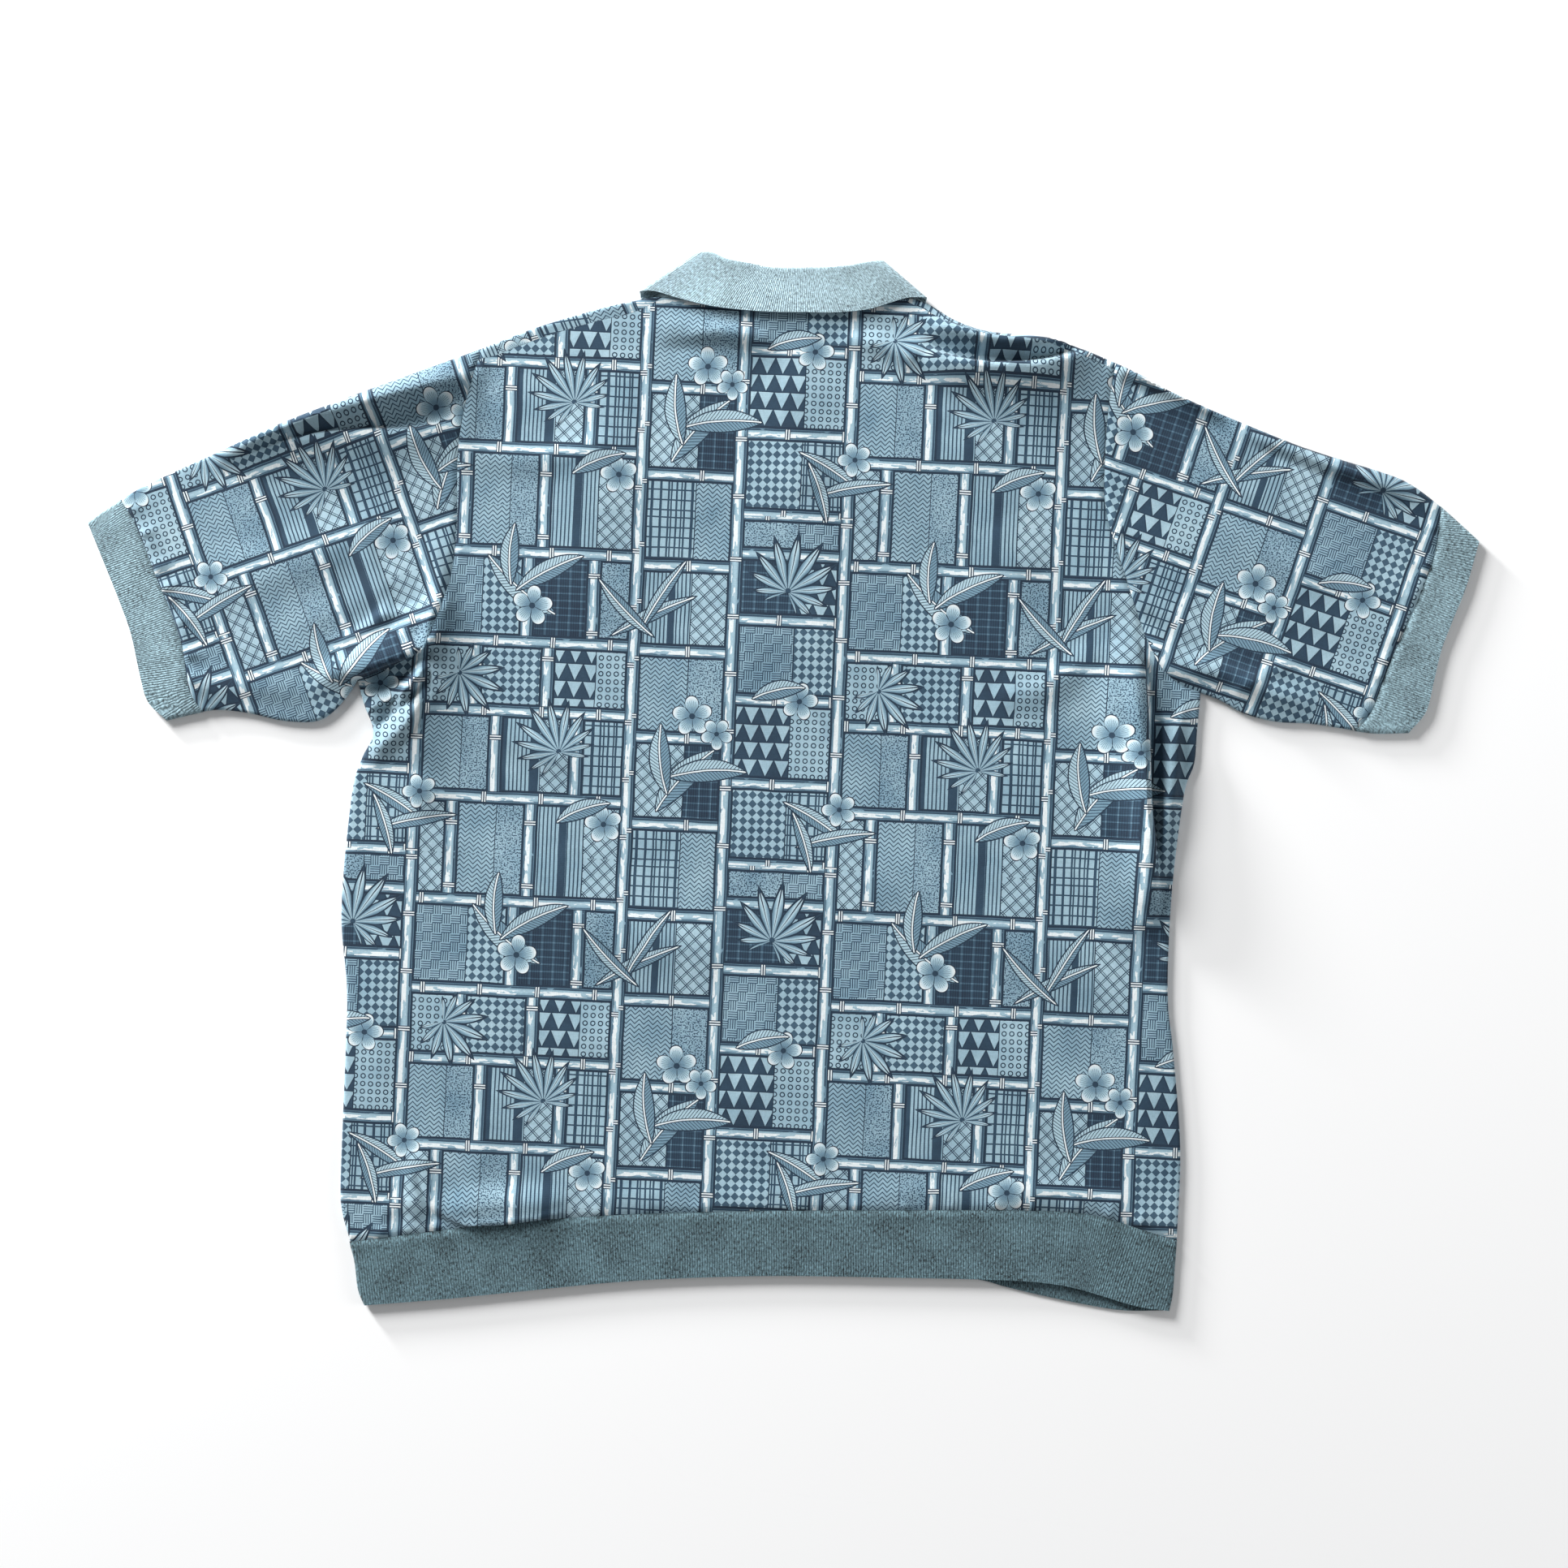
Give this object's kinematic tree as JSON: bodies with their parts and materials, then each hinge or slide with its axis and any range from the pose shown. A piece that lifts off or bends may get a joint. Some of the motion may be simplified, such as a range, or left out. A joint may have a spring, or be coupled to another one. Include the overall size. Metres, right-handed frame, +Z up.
{
  "type": "polo shirt",
  "caption": "Short-sleeved polo shirt in printed jersey with ribbed knit collar, cuffs and hem band, laid flat on its front with its back upwards",
  "frame": {"origin": "middle of the shirt's box in plan, on the floor that it lies on", "axes": "+Z up from the floor, through the back that faces up; +Y from the hem towards the collar; +X towards the sleeve on the right, seen from above with the collar at the far side"},
  "size_m": [0.9954, 0.7578, 0.017],
  "materials": {
    "jersey_back": "matte printed jersey",
    "jersey_front": "matte printed jersey",
    "jersey_sleeve_left": "matte printed jersey",
    "jersey_sleeve_right": "matte printed jersey",
    "jersey_placket": "matte printed jersey",
    "rib_collar": "heathered fine rib knit",
    "rib_cuffs": "heathered fine rib knit",
    "rib_hem": "heathered fine rib knit",
    "buttons": "polished"
  },
  "bodies": {
    "root": {"back_body": "jersey_back", "front_body": "jersey_front", "sleeve_left": "jersey_sleeve_left", "sleeve_right": "jersey_sleeve_right", "placket_top": "jersey_placket", "placket_under": "jersey_placket", "collar": "rib_collar", "cuff_left": "rib_cuffs", "cuff_right": "rib_cuffs", "hem_band": "rib_hem", "button_1": "buttons", "button_2": "buttons", "button_3": "buttons"}
  },
  "joints": []
}
